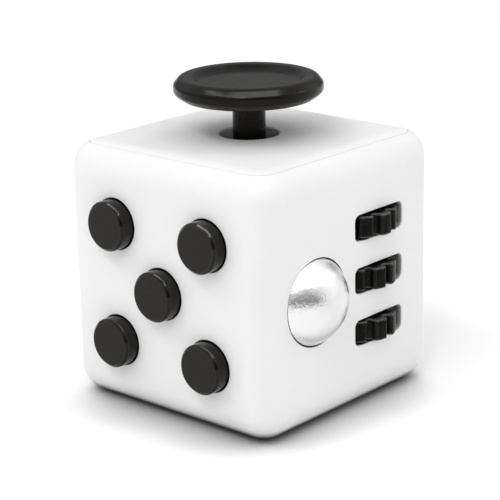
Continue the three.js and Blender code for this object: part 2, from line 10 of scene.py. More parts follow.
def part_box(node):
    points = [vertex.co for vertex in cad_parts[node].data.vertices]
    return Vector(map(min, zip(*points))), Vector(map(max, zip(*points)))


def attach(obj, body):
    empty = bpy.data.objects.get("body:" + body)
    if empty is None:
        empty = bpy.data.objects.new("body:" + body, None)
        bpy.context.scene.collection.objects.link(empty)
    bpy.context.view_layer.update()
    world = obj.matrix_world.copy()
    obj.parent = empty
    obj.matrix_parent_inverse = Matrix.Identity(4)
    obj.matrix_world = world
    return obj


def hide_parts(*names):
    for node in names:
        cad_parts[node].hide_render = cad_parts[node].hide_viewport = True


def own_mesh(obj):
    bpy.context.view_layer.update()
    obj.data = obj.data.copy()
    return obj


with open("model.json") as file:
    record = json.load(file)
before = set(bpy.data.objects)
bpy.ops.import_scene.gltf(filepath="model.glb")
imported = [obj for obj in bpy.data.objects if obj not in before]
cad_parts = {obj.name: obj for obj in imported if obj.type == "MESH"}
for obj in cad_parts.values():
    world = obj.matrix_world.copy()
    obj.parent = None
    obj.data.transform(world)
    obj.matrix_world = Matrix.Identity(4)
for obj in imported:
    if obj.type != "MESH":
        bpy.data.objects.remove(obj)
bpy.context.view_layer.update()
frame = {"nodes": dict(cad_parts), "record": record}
NODES = frame["nodes"]
MM = 0.001
FULL_TURN, HALF_TURN, QUARTER_TURN = math.tau, math.pi, math.pi / 2
SAME = 1e-7                                  # points closer than this are one

# ---- sizes, read from the frame where it holds them ----------------------------------------------
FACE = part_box("body_shell")[1].x             # centre to an outer face
CUBE = 2 * FACE
CUBE_MIDDLE = Vector((0, 0, FACE))
EDGE = 3.5 * MM                              # radius of the outer edges
WALL = 2 * MM
INSIDE = FACE - WALL                         # centre to an inner wall
GAP = 0.3 * MM                               # between pieces that rest on each other
SEAM_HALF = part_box("top_cover")[1].x + 0.1 * MM   # centre to the seam round a cover
SEAM_CORNER = 2 * MM
SEAM_PLAY = 0.018 * MM                       # on each side of the seam
LEDGE_HALF = 12.6 * MM                       # opening inside the ledge that carries a cover
LEDGE_THICK = 1 * MM


def centre(node):
    low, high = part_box(node)
    return (low + high) / 2


def span(node):
    low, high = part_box(node)
    return high - low


def axis_index(axis):
    """0, 1 or 2, from an axis such as "x" or "-x"."""
    return "xyz".index(axis[-1])


def fastener_axis(node):
    """The index of a fastener's axis, and the side of the cube's middle, -1 or 1, that its tip is on."""
    size, middle = span(node), centre(node) - CUBE_MIDDLE
    k = max(range(3), key=lambda j: size[j])
    return k, 1 if middle[k] > 0 else -1


# ---- mesh helpers --------------------------------------------------------------------------------
def to_object(name, mesh_maker):
    """Makes an object from a bmesh that mesh_maker fills, its faces facing out."""
    work = bmesh.new()
    mesh_maker(work)
    bmesh.ops.remove_doubles(work, verts=work.verts, dist=SAME)
    bmesh.ops.recalc_face_normals(work, faces=work.faces)
    mesh = bpy.data.meshes.new(name)
    work.to_mesh(mesh)
    work.free()
    made = bpy.data.objects.new(name, mesh)
    bpy.context.scene.collection.objects.link(made)
    return made


TURNS = {                                    # what lays a shape made along +Z along each direction
    "x": Matrix.Rotation(QUARTER_TURN, 4, "Y"), "-x": Matrix.Rotation(-QUARTER_TURN, 4, "Y"),
    "y": Matrix.Rotation(-QUARTER_TURN, 4, "X"), "-y": Matrix.Rotation(QUARTER_TURN, 4, "X"),
    "z": Matrix.Identity(4), "-z": Matrix.Rotation(HALF_TURN, 4, "X"),
}


def rounded_line(corners, closed=False, steps=5):
    """A line through (x, y, radius) corners, each rounded by an arc of its radius."""
    line = []
    count = len(corners)
    for i, (x, y, radius) in enumerate(corners):
        here = Vector((x, y))
        if radius <= 0 or (not closed and i in (0, count - 1)):
            line.append(here)
            continue
        before = (Vector(corners[i - 1][:2]) - here).normalized()
        after = (Vector(corners[(i + 1) % count][:2]) - here).normalized()
        half = before.angle(after) / 2
        reach = radius / math.tan(half)
        middle = here + (before + after).normalized() * (radius / math.sin(half))
        start, end = here + before * reach - middle, here + after * reach - middle
        sweep = start.angle_signed(end)
        line += [middle + Matrix.Rotation(-sweep * k / steps, 2) @ start for k in range(steps + 1)]
    return line


def lathe(name, corners, axis, place, sides=96, steps=5, longest=0.8 * MM):
    """A turned piece about the axis through place, from (radius, height, rounding) corners.

    No span of its profile is longer than longest."""
    bends = rounded_line(corners, steps=steps)
    line = bends[:1]
    for start, end in zip(bends, bends[1:]):
        pieces = math.ceil(math.dist(start, end) / longest)
        line += [tuple(a + (b - a) * k / pieces for a, b in zip(start, end)) for k in range(1, pieces + 1)]

    def fill(work):
        rings = []
        for radius, height in line:
            around = 1 if radius < SAME else sides
            angles = (FULL_TURN * k / sides for k in range(around))
            rings.append([work.verts.new((radius * math.cos(a), radius * math.sin(a), height)) for a in angles])
        for low, high in zip(rings, rings[1:]):
            for k in range(sides):
                quad = [low[k % len(low)], low[(k + 1) % len(low)],
                        high[(k + 1) % len(high)], high[k % len(high)]]
                corners_left = list(dict.fromkeys(quad))
                if len(corners_left) > 2:
                    work.faces.new(corners_left)

    made = to_object(name, fill)
    made.data.transform(Matrix.Translation(place) @ TURNS[axis])
    return made


def rounded_rectangle(half_x, half_y, corner, steps=8):
    """Points round a rectangle with round corners."""
    corners = [(half_x, half_y, corner), (-half_x, half_y, corner),
               (-half_x, -half_y, corner), (half_x, -half_y, corner)]
    return rounded_line(corners, closed=True, steps=steps)


def loft(name, sections, place=(0, 0, 0), axis="z"):
    """A closed solid through sections, each (outline, height), all with the same number of points."""
    def fill(work):
        rings = [[work.verts.new((x, y, height)) for x, y in outline] for outline, height in sections]
        count = len(rings[0])
        for low, high in zip(rings, rings[1:]):
            for k in range(count):
                work.faces.new((low[k], low[(k + 1) % count], high[(k + 1) % count], high[k]))
        work.faces.new(rings[0])
        work.faces.new(rings[-1])

    made = to_object(name, fill)
    made.data.transform(Matrix.Translation(place) @ TURNS[axis])
    return made


def square_bar(half, corner, low, high):
    outline = rounded_rectangle(half, half, corner)
    return loft("bar", [(outline, low), (outline, high)])


def block(low, high):
    """A plain block between two corners, for joining to or cutting from another shape."""
    def fill(work):
        bmesh.ops.create_cube(work, size=1)
        size = Vector(high) - Vector(low)
        bmesh.ops.scale(work, vec=size, verts=work.verts)
        bmesh.ops.translate(work, vec=(Vector(low) + Vector(high)) / 2, verts=work.verts)
    return to_object("block", fill)


def rounded_cube(steps=12):
    """The outer form of the casing: a cube with round edges and ball corners, standing on z = 0."""
    def fill(work):
        bmesh.ops.create_cube(work, size=CUBE)
        bmesh.ops.translate(work, vec=(0, 0, FACE), verts=work.verts)
        bmesh.ops.bevel(work, geom=work.edges[:], offset=EDGE, segments=steps, profile=0.5,
                        affect="EDGES", clamp_overlap=False)
    return to_object("outer", fill)


def soften_rims(solid, reach):
    """Rounds the edges round the two end faces of a loft made along Z."""
    def fill(work):
        work.from_mesh(solid.data)
        rims = [e for e in work.edges if abs(e.verts[0].co.z - e.verts[1].co.z) < SAME]
        bmesh.ops.bevel(work, geom=rims, offset=reach, segments=3, profile=0.5, affect="EDGES")

    made = to_object(solid.name, fill)
    bpy.data.objects.remove(solid)
    return made


def combine(target, others, operation):
    """Joins others to target, cuts them from it or keeps what they share, and removes them."""
    bpy.context.view_layer.update()
    for other in others:
        modifier = target.modifiers.new("combine", "BOOLEAN")
        modifier.operation = operation
        modifier.solver = "MANIFOLD"
        modifier.object = other
    shaped = bpy.data.meshes.new_from_object(target.evaluated_get(bpy.context.evaluated_depsgraph_get()))
    target.modifiers.clear()
    target.data = shaped
    for other in others:
        bpy.data.objects.remove(other)
    return target


def finish_surface(made, sharp=38):
    """Smooth shading with the sharp edges kept, and flat faces left truly flat."""
    mesh = made.data
    mesh.polygons.foreach_set("use_smooth", [True] * len(mesh.polygons))
    mesh.set_sharp_from_angle(angle=math.radians(sharp))
    weighted = made.modifiers.new("weighted", "WEIGHTED_NORMAL")
    weighted.keep_sharp = True
    return made


def install(made, name, body, slot, material, *nodes):
    """Names a finished piece, gives it its material and body, and hides the CAD nodes it stands for."""
    made.name = name
    made.data.name = name
    made.data.materials.clear()
    made.data.materials.append(material)
    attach(made, body)
    if nodes:
        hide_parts(*nodes)
    return made


# ---- materials -----------------------------------------------------------------------------------
class Finish:
    """A procedural material: a principled shader and the texture nodes that drive it, in object metres."""

    def __init__(self, name, **uniform):
        self.material = bpy.data.materials.new(name)
        self.material.use_nodes = True
        self.nodes = self.material.node_tree.nodes
        self.links = self.material.node_tree.links
        self.shader = self.nodes["Principled BSDF"]
        self.place = self.nodes.new("ShaderNodeTexCoord").outputs["Object"]
        for socket, value in uniform.items():
            self.shader.inputs[socket.replace("_", " ")].default_value = value

    def add(self, kind, settings=(), **inputs):
        node = self.nodes.new(kind)
        for field, value in dict(settings).items():
            setattr(node, field, value)
        for socket, value in inputs.items():
            target = node.inputs[socket.replace("_", " ")]
            if isinstance(value, bpy.types.NodeSocket):
                self.links.new(value, target)
            else:
                target.default_value = value
        return node

    def noise(self, per_mm, detail=3.0, roughness=0.55, place=None):
        """Fractal noise with that many features to the millimetre."""
        node = self.add("ShaderNodeTexNoise", Vector=place or self.place, Scale=per_mm / MM,
                        Detail=detail, Roughness=roughness)
        return node.outputs["Fac"]

    def stretched(self, scale):
        """The place stretched by a factor on each axis, for brushed and turned marks."""
        return self.add("ShaderNodeMapping", Vector=self.place, Scale=scale).outputs["Vector"]

    def ramp(self, value, low, high, from_low=0.3, from_high=0.7):
        """A value carried from one range to another."""
        node = self.add("ShaderNodeMapRange", Value=value)
        for socket, number in zip(("From Min", "From Max", "To Min", "To Max"),
                                  (from_low, from_high, low, high)):
            node.inputs[socket].default_value = number
        return node.outputs["Result"]

    def colour(self, value, dark, light):
        """Base colour between two colours by a value from 0 to 1."""
        node = self.add("ShaderNodeMix", {"data_type": "RGBA"}, Factor=value)
        node.inputs[6].default_value = (*dark, 1)
        node.inputs[7].default_value = (*light, 1)
        self.links.new(node.outputs[2], self.shader.inputs["Base Color"])

    def roughness(self, value):
        self.links.new(value, self.shader.inputs["Roughness"])

    def bump(self, *layers):
        """Relief from (height, strength, depth in millimetres) layers, laid one on another."""
        normal = None
        for height, strength, depth in layers:
            node = self.add("ShaderNodeBump", Height=height, Strength=strength, Distance=depth * MM)
            if normal is not None:
                self.links.new(normal, node.inputs["Normal"])
            normal = node.outputs["Normal"]
        self.links.new(normal, self.shader.inputs["Normal"])

    def edges(self, reach):
        """1 on edges and 0 elsewhere, from how the normal turns when blurred over that many millimetres."""
        blurred = self.add("ShaderNodeBevel", {"samples": 6}, Radius=reach * MM)
        alike = self.nodes.new("ShaderNodeVectorMath")
        alike.operation = "DOT_PRODUCT"
        self.links.new(blurred.outputs["Normal"], alike.inputs[0])
        self.links.new(self.nodes.new("ShaderNodeNewGeometry").outputs["Normal"], alike.inputs[1])
        return self.ramp(alike.outputs["Value"], 1, 0, 0.88, 0.995)

    def openness(self, reach, **inputs):
        """1 in the open and 0 in a recess, as seen over that many millimetres."""
        node = self.add("ShaderNodeAmbientOcclusion", {"samples": 8}, Distance=reach * MM, **inputs)
        return node.outputs["AO"]

    def reckon(self, operation, first, second):
        node = self.add("ShaderNodeMath", {"operation": operation})
        self.links.new(first, node.inputs[0])
        self.links.new(second, node.inputs[1])
        return node.outputs[0]


def soft_white():
    """White soft-touch paint: fine orange peel, handling sheen, faint mottling, and painted shade that darkens
    its recesses and holes.
    """
    finish = Finish("soft_white", IOR=1.46)
    mottle = finish.ramp(finish.noise(0.09, 4), 0.965, 1)
    # Painted shade: the colour darkens towards near black in recesses and holes, by how open they are over 4
    # mm; the mottling is faint random tone.
    painted_shade_factor = finish.ramp(finish.openness(4), 0, 1, 0.16, 0.50)
    finish.colour(finish.reckon("MULTIPLY", mottle, painted_shade_factor), (0.06, 0.06, 0.06), (0.79, 0.79, 0.79))
    finish.roughness(finish.ramp(finish.noise(0.35, 5), 0.46, 0.6))
    finish.bump((finish.noise(6.5, 2), 0.10, 0.02), (finish.noise(1.4, 2), 0.08, 0.03))
    return finish.material


def moulded_black(name, shade, edge_highlight_tone, rough, grain, relief, ior):
    """Moulded black plastic: spark-eroded grain, uneven gloss and a painted highlight on every edge, all a
    little warm.
    """
    finish = Finish(name, IOR=ior, Specular_Tint=(1, 0.96, 0.87, 1))
    # Painted highlight: every edge gets a paler colour, whichever way the light falls; the same mask also makes
    # the edges glossier.
    edge_highlight_mask = finish.edges(0.3)
    patch = finish.ramp(finish.noise(0.5, 4), 0, 0.02)
    # pale is the colour of the painted edge highlight; dark is the plastic's own tone, and patch adds faint
    # random tone.
    dark, pale = (tuple(tone * k for k in (1.02, 1, 0.96)) for tone in (shade, edge_highlight_tone))
    finish.colour(finish.reckon("MAXIMUM", edge_highlight_mask, patch), dark, pale)
    uneven = finish.ramp(finish.noise(0.9, 5), rough - 0.05, rough + 0.05)
    finish.roughness(finish.reckon("MULTIPLY", uneven, finish.ramp(edge_highlight_mask, 1, 0.5, 0, 1)))
    finish.bump((finish.noise(grain, 2), relief, 0.012), (finish.noise(1.1, 2), 0.06, 0.03))
    return finish.material


def polished_ball():
    """Polished bearing steel with hairline scuffs and faint finger haze."""
    finish = Finish("polished_ball", Metallic=1.0)
    haze = finish.noise(0.22, 4)
    finish.colour(finish.ramp(haze, 0, 1), (0.71, 0.71, 0.72), (0.83, 0.83, 0.83))
    finish.roughness(finish.ramp(finish.noise(1.2, 6), 0.12, 0.24))
    scuffs = finish.noise(2.6, 4, place=finish.stretched((1, 2, 1)))
    finish.bump((scuffs, 1.0, 0.05))
    return finish.material


def inner_black():
    """Matte black ABS of the hidden frames, with flow marks from the mould."""
    finish = Finish("inner_black", IOR=1.25)
    flow = finish.noise(0.6, 4, place=finish.stretched((1, 1, 3)))
    finish.colour(finish.ramp(flow, 0, 1), (0.006, 0.006, 0.007), (0.011, 0.011, 0.012))
    finish.roughness(finish.ramp(finish.noise(1.6, 4), 0.48, 0.62))
    finish.bump((finish.noise(5, 2), 0.15, 0.015))
    return finish.material


def milky_silicone():
    finish = Finish("milky_silicone", IOR=1.41, Subsurface_Weight=0.4, Subsurface_Scale=0.6 * MM)
    finish.colour(finish.ramp(finish.noise(0.7, 4), 0, 1), (0.60, 0.62, 0.64), (0.68, 0.69, 0.70))
    finish.roughness(finish.ramp(finish.noise(2, 4), 0.5, 0.68))
    finish.bump((finish.noise(4, 2), 0.12, 0.02))
    return finish.material


def spring_steel():
    """Drawn and stamped spring steel, with draw lines and a little heat tint."""
    finish = Finish("spring_steel", Metallic=1.0)
    tint = finish.noise(0.5, 3)
    finish.colour(finish.ramp(tint, 0, 1), (0.50, 0.49, 0.47), (0.66, 0.66, 0.67))
    lines = finish.noise(3, 3, place=finish.stretched((1, 1, 8)))
    finish.roughness(finish.ramp(lines, 0.2, 0.38))
    finish.bump((lines, 0.12, 0.006))
    return finish.material


def zinc_plate():
    """Bright zinc plating on turned steel: turning marks and a cloudy, slightly blue haze."""
    finish = Finish("zinc_plate", Metallic=1.0)
    cloud = finish.noise(1.1, 4)
    finish.colour(finish.ramp(cloud, 0, 1), (0.46, 0.47, 0.50), (0.60, 0.61, 0.62))
    finish.roughness(finish.ramp(finish.noise(2.4, 4), 0.24, 0.42))
    finish.bump((finish.noise(7, 2), 0.10, 0.006))
    return finish.material


WHITE = soft_white()
BLACK, CAP_BLACK, STEM_BLACK, GEAR_BLACK = (
    moulded_black(*row) for row in (         # name, shade, tone of the painted edge highlight, rough, grain, relief, ior
        ("moulded_black", 0.0015, 0.07, 0.12, 5.0, 0.05, 1.31),
        ("cap_black", 0.0015, 0.05, 0.22, 6.5, 0.10, 1.25),
        ("stem_black", 0.004, 0.008, 0.26, 3.0, 0.08, 1.22),
        ("gear_black", 0.0010, 0.40, 0.22, 4.0, 0.08, 1.14)))
BALL_STEEL = polished_ball()
INNER = inner_black()
SILICONE = milky_silicone()
SPRING = spring_steel()
ZINC = zinc_plate()

# ---- camera, lights and floor: first, so that what follows can be looked at ----------------------
# A direction is (azimuth, elevation) in degrees, as toward() takes it.
EYE_FROM = (41.65, 17.44)
EYE_ROLL = math.radians(-1.17)
EYE_DISTANCE = 228.19 * MM                   # from the middle of the cube
LENS, SENSOR = 129.5, 36                     # in mm
SHIFT = (-0.0039, 0.0188)
TENT_LOW, TENT_HIGH, TENT_ROOF = 0.42, 1.12, 0.66   # how bright it is at the horizon, above it and overhead
OPENING = ((62, 46), (12, -2), (102, -2))    # directions of the opening's apex, left and right corners
OPENING_DEPTH = 0.50                         # share of the cloth's light that it takes away
WALLS = (((140, 12), 1.2), ((-28, 12), 0.7))   # the brighter walls' directions and brightness
BACK_FROM, BACK_DIM = (222, 10), 0.5         # the dimmer cloth behind: its direction and share of its light
BOXES = (                                    # soft boxes: name, direction, length and width in m, watts
    ("front_strip", (29, 44), 0.04, 0.13, 0.26),
    ("upper_strip", (-18, 56), 0.42, 0.035, 0.52),
    ("right_box", (138, 32), 0.10, 0.10, 0.12),
    ("roof_box", (58, 64), 0.50, 0.26, 2.60),
)
BOX_DISTANCE = 0.5
SHEEN_ONLY = ("roof_box",)                   # shows in glossy reflections alone
SUN_STRENGTH, SUN_ANGLE, SUN_FROM = 0.20, math.radians(64), (215, 77)
FLOOR_HALF = 3                               # in m
SHADE_LEAN = (222, 46)                       # the floor's contact shade falls away from this direction
SHADE_REACH = 10                             # in mm


def toward(azimuth, elevation):
    """The direction at so many degrees round from the front (-Y) towards the right (+X), and so many up."""
    turn, rise = math.radians(azimuth), math.radians(elevation)
    return Vector((math.sin(turn) * math.cos(rise), -math.cos(turn) * math.cos(rise), math.sin(rise)))


def make_camera():
    back = toward(*EYE_FROM)
    right = (-back).cross(Vector((0, 0, 1))).normalized()
    up = right.cross(-back)
    turned_right = math.cos(EYE_ROLL) * right + math.sin(EYE_ROLL) * up
    turned_up = math.cos(EYE_ROLL) * up - math.sin(EYE_ROLL) * right
    camera = bpy.data.objects.new("camera", bpy.data.cameras.new("camera"))
    bpy.context.scene.collection.objects.link(camera)
    camera.matrix_world = Matrix((
        (turned_right.x, turned_up.x, back.x, 0), (turned_right.y, turned_up.y, back.y, 0),
        (turned_right.z, turned_up.z, back.z, 0), (0, 0, 0, 1)))
    camera.location = CUBE_MIDDLE + back * EYE_DISTANCE
    camera.data.lens = LENS
    camera.data.sensor_width = SENSOR
    camera.data.shift_x, camera.data.shift_y = SHIFT
    camera.data.clip_start = 0.01
    bpy.context.scene.camera = camera


def hang_light(name, kind, direction):
    """A light of a kind that shines on the cube from a direction, as (its settings, its object)."""
    light = bpy.data.lights.new(name, kind)
    lamp = bpy.data.objects.new(name, light)
    bpy.context.scene.collection.objects.link(lamp)
    lamp.location = CUBE_MIDDLE + toward(*direction) * BOX_DISTANCE
    lamp.rotation_euler = toward(*direction).to_track_quat("Z", "Y").to_euler()
    return light, lamp


def tent(world):
    """White cloth, brighter towards its top and dimmer behind, with a three-cornered opening at the front."""
    world.use_nodes = True
    tree = world.node_tree
    background = tree.nodes["Background"]
    direction = tree.nodes.new("ShaderNodeTexCoord").outputs["Generated"]

    def facing(normal, dim, bright, start, end):
        """From dim to bright as the cosine of the angle to normal goes from start to end."""
        dot = tree.nodes.new("ShaderNodeVectorMath")
        dot.operation = "DOT_PRODUCT"
        dot.inputs[1].default_value = normal
        tree.links.new(direction, dot.inputs[0])
        ramp = tree.nodes.new("ShaderNodeMapRange")
        ramp.interpolation_type = "SMOOTHSTEP"
        for socket, value in zip(("From Min", "From Max", "To Min", "To Max"), (start, end, dim, bright)):
            ramp.inputs[socket].default_value = value
        tree.links.new(dot.outputs["Value"], ramp.inputs["Value"])
        return ramp.outputs["Result"]

    def reckon(operation, first, second):
        node = tree.nodes.new("ShaderNodeMath")
        node.operation = operation
        for socket, value in zip(node.inputs, (first, second)):
            if isinstance(value, bpy.types.NodeSocket):
                tree.links.new(value, socket)
            else:
                socket.default_value = value
        return node.outputs[0]

    cloth = reckon("SUBTRACT", facing((0, 0, 1), TENT_LOW, TENT_HIGH, 0.05, 0.55),
                   facing((0, 0, 1), 0, TENT_HIGH - TENT_ROOF, 0.88, 0.99))
    for direction_lit, glow in WALLS:
        cloth = reckon("MAXIMUM", cloth, facing(toward(*direction_lit), 0, glow, 0.55, 0.85))
    cloth = reckon("MULTIPLY", cloth, facing(toward(*BACK_FROM), 1, BACK_DIM, 0.5, 0.9))
    apex, left, right = (toward(*corner) for corner in OPENING)
    inside = reckon("MULTIPLY", facing(apex.cross(left).normalized(), 0, 1, -0.04, 0.06),
                    facing(right.cross(apex).normalized(), 0, 1, -0.04, 0.06))
    shut = reckon("SUBTRACT", 1, reckon("MULTIPLY", inside, OPENING_DEPTH))
    tree.links.new(reckon("MULTIPLY", cloth, shut), background.inputs["Strength"])
    background.inputs["Color"].default_value = (1, 1, 1, 1)


def studio():
    """A white tent with soft boxes and a broad soft sun above, on a pale floor with a soft contact shade."""
    scene = bpy.context.scene
    scene.view_settings.view_transform = "Standard"
    scene.world = bpy.data.worlds.new("tent")
    tent(scene.world)
    for name, direction, length, width, power in BOXES:
        light, lamp = hang_light(name, "AREA", direction)
        light.shape = "RECTANGLE"
        light.size, light.size_y = length, width
        light.energy = power
        lamp.visible_diffuse = name not in SHEEN_ONLY
    sun, _ = hang_light("overhead", "SUN", SUN_FROM)
    sun.energy, sun.angle = SUN_STRENGTH, SUN_ANGLE

    def fill(work):
        bmesh.ops.create_grid(work, x_segments=1, y_segments=1, size=FLOOR_HALF)
    floor = to_object("floor", fill)
    paper = Finish("floor_paper", Roughness=0.9)
    lean = paper.add("ShaderNodeCombineXYZ", **dict(zip("XYZ", toward(*SHADE_LEAN)))).outputs[0]
    shade = paper.ramp(paper.openness(SHADE_REACH, Normal=lean), 0, 1, 0.02, 0.74)
    paper.colour(shade, (0.12, 0.12, 0.12), (0.94, 0.94, 0.94))
    floor.data.materials.append(paper.material)


make_camera()
studio()


# ---- casing --------------------------------------------------------------------------------------
PLACES = ("top_left", "top_right", "centre", "bottom_left", "bottom_right")
LEVELS = ("top", "middle", "bottom")
BUTTON_R = 3.15 * MM
SLOT_HALF = (1.65 * MM, 4.65 * MM)           # half height and half length
SLOT_CORNER = 0.8 * MM
STICK_HOLE_R = 3.7 * MM
BALL_PLAY = 0.1 * MM
SWITCH_WINDOW = (7.17 * MM, 3.9 * MM)        # half height and half width
DIAL_POCKET = 0.8 * MM                       # depth
DIAL_POCKET_R = 8.4 * MM
DIAL_HUB_R = 4 * MM
DIAL_SHAFT_R = 2 * MM
BOSS_R = 1.5 * MM
BOSS_BORE = 0.75 * MM
BOSS_FOOT = {"backplate": -12.3 * MM, "bracket": 8.3 * MM, "housing": 5.4 * MM, "switch": -9.9 * MM}
BEYOND = 1 * MM                              # how far a cutter passes the face
HAIR = 0.004 * MM                            # keeps a cutter's edge off the face that it cuts


def rod(axis, radius, low, high, place=(0, 0, 0), sides=32):
    """A plain round bar, for joining to or cutting from another shape."""
    return lathe("rod", [(0, low, 0), (radius, low, 0), (radius, high, 0), (0, high, 0)], axis, place, sides)


def round_hole(axis, radius, low, face, flare, place, sides=64):
    """A cutter for a round hole whose mouth, on the face, has a rounded edge."""
    mouth = face + HAIR
    return lathe("hole", [(0, low, 0), (radius, low, 0), (radius, mouth, flare), (radius + flare, mouth, 0),
                          (radius + flare, mouth + BEYOND, 0), (0, mouth + BEYOND, 0)], axis, place, sides)


def outline_hole(axis, half, corner, low, face, flare, place, steps=4):
    """A cutter for a hole with a rounded rectangular outline and a rounded mouth."""
    mouth = face + HAIR
    growth = [(0, low)]
    for k in range(steps + 1):
        turn = QUARTER_TURN * k / steps
        growth.append((flare * (1 - math.cos(turn)), mouth - flare + flare * math.sin(turn)))
    growth.append((flare, mouth + BEYOND))
    return loft("hole", [(rounded_rectangle(half[0] + grown, half[1] + grown, corner + grown), height)
                         for grown, height in growth], place, axis)


def screw_bosses():
    """The bosses inside the sleeve and their bores, placed by the screws that they take."""
    solids, bores = [], []
    for node in sorted(NODES):
        family = node.split("_")[0]
        if "_screw_" not in node or family not in BOSS_FOOT:
            continue
        k, side = fastener_axis(node)
        foot, root = BOSS_FOOT[family], side * (INSIDE + MM)
        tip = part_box(node)[side > 0][k] + side * 0.4 * MM
        middle = centre(node)
        middle[k] = 0
        solids.append(rod("xyz"[k], BOSS_R, min(foot, root), max(foot, root), middle))
        start = foot - side * MM
        bores.append(rod("xyz"[k], BOSS_BORE, min(start, tip), max(start, tip), middle))
    return solids, bores


def ball_window():
    """The cutter for the ball's opening: it follows the ball, so that an even hairline shows round it."""
    middle = centre("ball")
    clear = span("ball").x / 2 + BALL_PLAY
    inner, outer = INSIDE - middle.x - 2.4 * MM, FACE - middle.x
    steps = 12
    heights = [inner + (outer - inner) * k / steps for k in range(steps + 1)]
    *curve, (mouth, _, _) = [(math.sqrt(clear ** 2 - h ** 2), h, 0) for h in heights]
    flare = mouth + 0.3 * MM
    return lathe("hole", [
        (0, inner, 0), *curve, (mouth, outer + HAIR, 0.1 * MM), (flare, outer + 0.12 * MM, 0),
        (flare, outer + BEYOND, 0), (0, outer + BEYOND, 0)], "x", middle)


def casing_sleeve():
    ledge_top = CUBE - WALL - GAP
    ledge_foot = ledge_top - LEDGE_THICK
    pocket = SEAM_HALF + SEAM_PLAY
    sleeve = combine(rounded_cube(), [
        square_bar(INSIDE, 3 * MM, CUBE - ledge_foot, ledge_foot),
        square_bar(LEDGE_HALF, 1.8 * MM, -BEYOND, CUBE + BEYOND),
        square_bar(pocket, SEAM_CORNER, ledge_top, CUBE + BEYOND),
        square_bar(pocket, SEAM_CORNER, -BEYOND, CUBE - ledge_top),
    ], "DIFFERENCE")
    bosses, cutters = screw_bosses()
    dial = centre("dial")
    dial.y = 0
    hub = rod("y", DIAL_HUB_R, INSIDE - 1.5 * MM, FACE - 1.2 * MM, dial)
    combine(sleeve, [*bosses, hub], "UNION")
    deep = INSIDE - BEYOND
    for place in PLACES:
        spot = centre("button_" + place)
        spot.y = 0
        cutters.append(round_hole("-y", BUTTON_R + 0.09 * MM, deep, FACE, 0.12 * MM, spot))
    for level in LEVELS:
        spot = centre("gear_" + level)
        slot_place = (0, spot.y, spot.z)
        cutters.append(outline_hole("x", SLOT_HALF, SLOT_CORNER, deep, FACE, 0.15 * MM, slot_place))
        wheel_r = span("gear_top").x / 2 + 0.25 * MM
        cutters.append(rod("z", wheel_r, -SLOT_HALF[0], SLOT_HALF[0], spot, 96))
    window = centre("switch_pin")
    window.x = 0
    cutters.append(outline_hole("-x", SWITCH_WINDOW, 0.8 * MM, deep, FACE, 0.2 * MM, window))
    floor, mouth, lip = FACE - DIAL_POCKET, FACE + HAIR, DIAL_POCKET_R + 0.2 * MM
    cutters.append(lathe("hole", [
        (0, floor, 0), (DIAL_POCKET_R, floor, 0.3 * MM), (DIAL_POCKET_R, mouth, 0.2 * MM),
        (lip, mouth, 0), (lip, FACE + BEYOND, 0), (0, FACE + BEYOND, 0)], "y", dial, 128))
    cutters.append(rod("y", DIAL_SHAFT_R + 0.1 * MM, INSIDE - 3 * MM, FACE, dial, 64))
    cutters.append(ball_window())
    combine(sleeve, cutters, "DIFFERENCE")
    return finish_surface(sleeve)


def cover_plate():
    """A cover as it lies on top of the cube, with its four snap tabs."""
    floor = CUBE - WALL
    inside_seam = square_bar(SEAM_HALF - SEAM_PLAY, SEAM_CORNER, floor, CUBE + BEYOND)
    plate = combine(rounded_cube(), [inside_seam], "INTERSECT")
    face = LEDGE_HALF - GAP
    barb = floor - 2 * GAP - LEDGE_THICK
    tab_half, tab_thick, barb_tall, barb_reach = 2.5 * MM, 0.7 * MM, 0.6 * MM, 0.8 * MM
    tabs = []
    for quarter in range(4):
        for reach, top in ((0, floor + 0.5 * MM), (barb_reach, barb)):
            tab = block((face - tab_thick, -tab_half, barb - barb_tall), (face + reach, tab_half, top))
            tab.data.transform(Matrix.Rotation(quarter * QUARTER_TURN, 4, "Z"))
            tabs.append(tab)
    return combine(plate, tabs, "UNION")


def casing_top():
    """The top cover, with the hole for the stick and the bosses that hold the stick's screws."""
    floor = CUBE - WALL
    corners = [(*centre(node).xy, 0) for node in sorted(NODES) if node.startswith("joystick_screw")]
    bosses = [rod("z", BOSS_R, floor - 1.1 * MM, floor + 0.5 * MM, corner) for corner in corners]
    cover = combine(cover_plate(), bosses, "UNION")
    bores = [rod("z", BOSS_BORE, floor - 2 * MM, CUBE - 0.8 * MM, corner) for corner in corners]
    stick_hole = round_hole("z", STICK_HOLE_R, floor - BEYOND, CUBE, 0.25 * MM, (0, 0, 0), 96)
    combine(cover, [*bores, stick_hole], "DIFFERENCE")
    return finish_surface(cover)


def casing_base():
    """The bottom cover, with the oval thumb dish pressed into it."""
    cover = cover_plate()
    cover.data.transform(Matrix.Translation((0, 0, CUBE)) @ TURNS["-z"])
    pad = loft("pad", [(rounded_rectangle(10.5 * MM, 8 * MM, 4 * MM), h * MM) for h in (1.5, 3)])
    combine(cover, [pad], "UNION")
    long_half, wide_half, depth, lip, steps = 9.0, 6.5, 1.4, 0.06, 16
    bowl = [(r, depth * (1 - r * r) ** 0.9, 0) for r in (k / steps for k in range(steps))]
    dish = lathe("dish", [(0, -1, 0), (1 + lip, -1, 0), (1 + lip, -0.02, 0), (1, 0.06, 0), *reversed(bowl)],
                 "z", (0, 0, 0), longest=0.1)    # a round bowl of radius 1, stretched to the oval below
    dish.data.transform(Matrix.Diagonal((long_half * MM, wide_half * MM, MM, 1)))
    combine(cover, [dish], "DIFFERENCE")
    return finish_surface(cover, 30)


